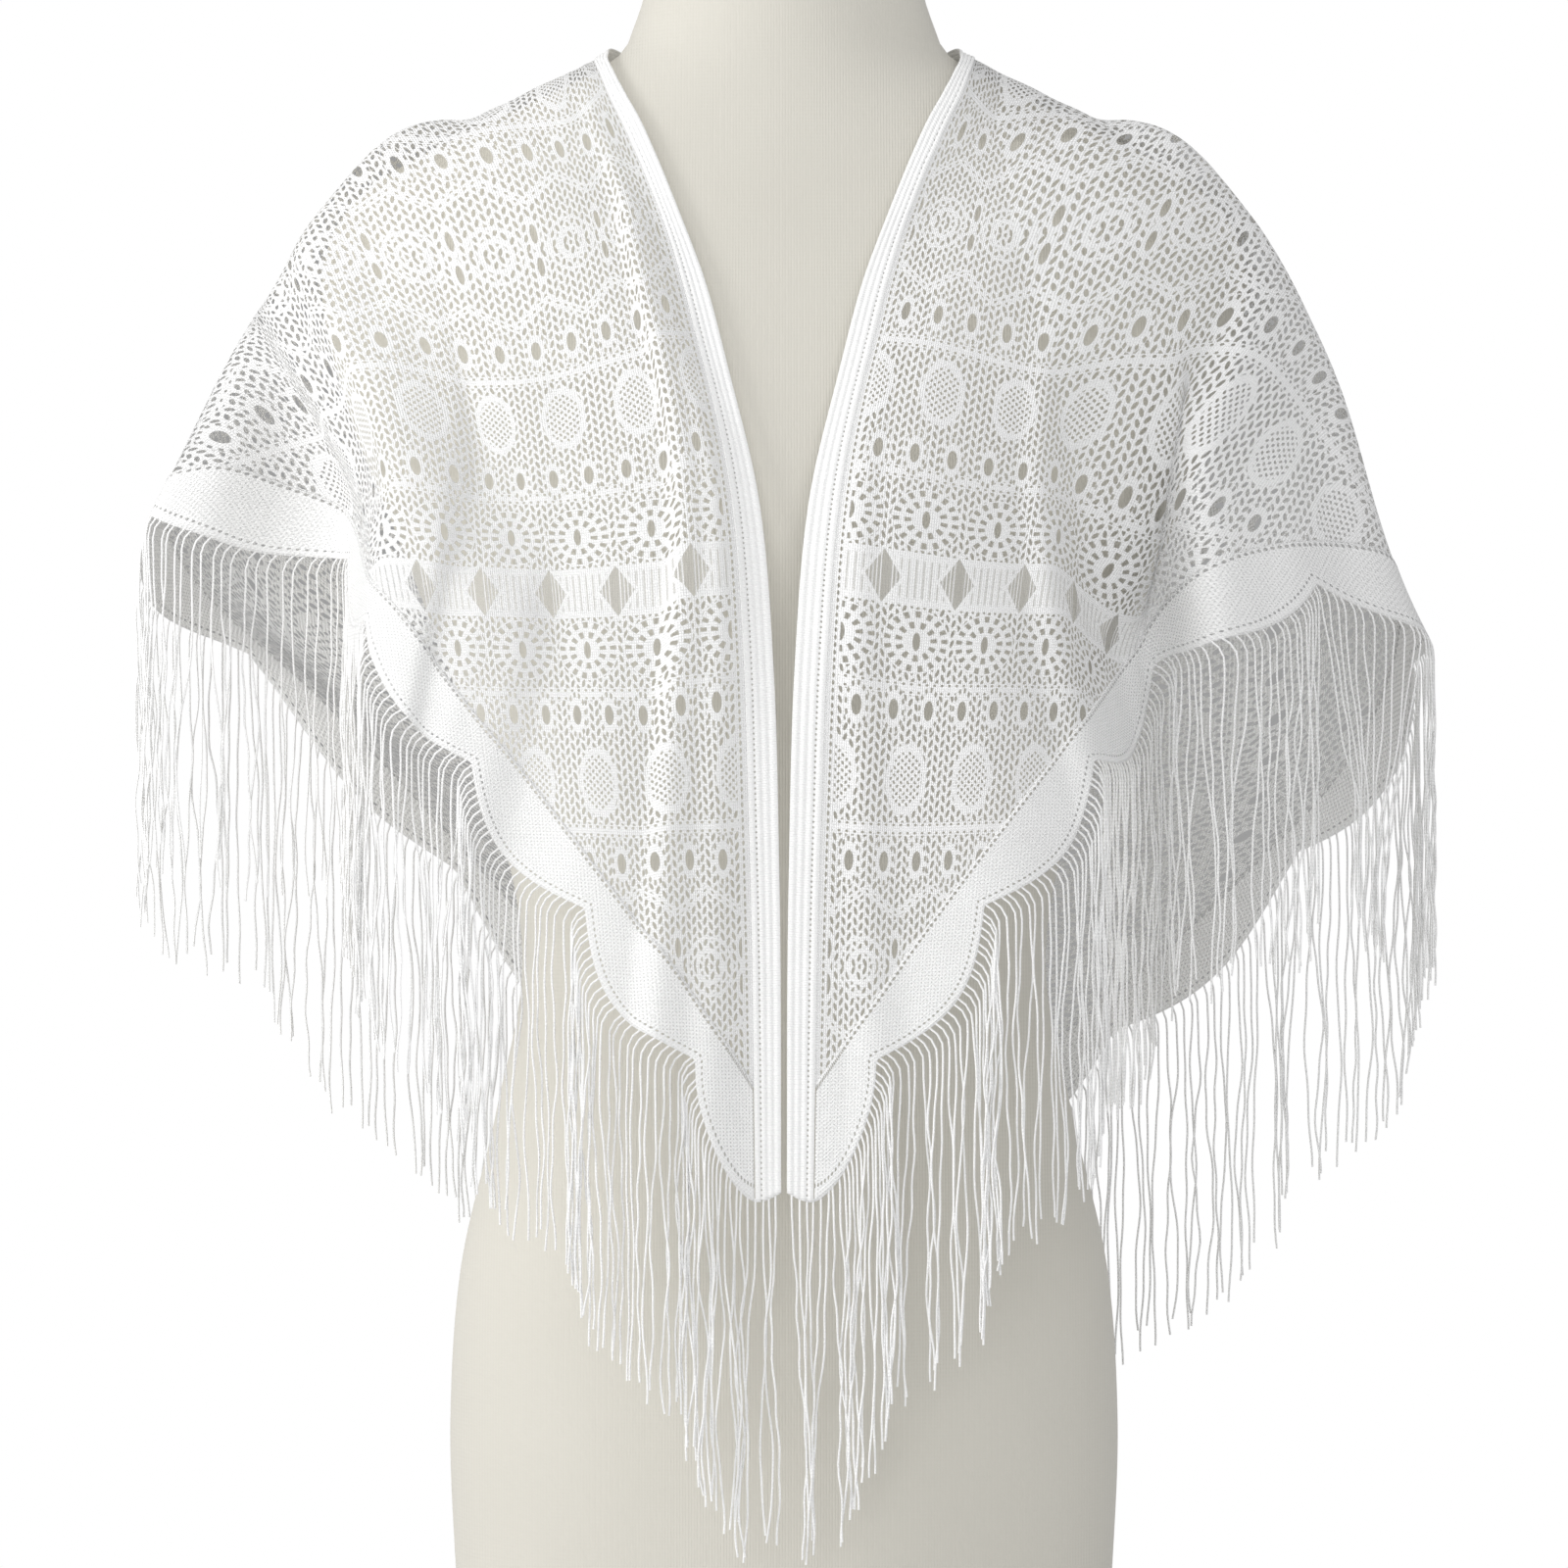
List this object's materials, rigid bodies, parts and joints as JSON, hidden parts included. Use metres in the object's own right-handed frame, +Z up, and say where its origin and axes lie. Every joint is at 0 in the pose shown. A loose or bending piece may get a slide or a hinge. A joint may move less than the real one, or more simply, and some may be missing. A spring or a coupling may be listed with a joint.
{
  "type": "lace triangle shawl on a limbless dress form",
  "caption": "White lace triangle shawl with taped neck edge, scalloped border and long fringe, draped over the shoulders of a limbless ivory dress form.",
  "frame": {"origin": "centre of the form's flat base, at the floor", "axes": "+Z up; the wearer faces -Y; the wearer's left side is at +X"},
  "size_m": [0.607, 0.2989, 0.874],
  "materials": {
    "white_lace": "matt open lace",
    "ribbed_tape": "matt ribbed knit",
    "dense_border": "matt close knit",
    "fringe_yarn": "soft yarn",
    "ivory_form": "smooth matt"
  },
  "bodies": {
    "root": {"dress_form": "ivory_form", "lace_left_front": "white_lace", "lace_right_front": "white_lace", "lace_left_back": "white_lace", "lace_right_back": "white_lace", "lace_middle_back": "white_lace", "neck_tape": "ribbed_tape", "left_front_tape": "ribbed_tape", "right_front_tape": "ribbed_tape", "border_left_front": "dense_border", "border_right_front": "dense_border", "border_back": "dense_border", "fringe_left_front": "fringe_yarn", "fringe_left_side": "fringe_yarn", "fringe_left_back": "fringe_yarn", "fringe_right_front": "fringe_yarn", "fringe_right_side": "fringe_yarn", "fringe_right_back": "fringe_yarn"}
  },
  "joints": []
}
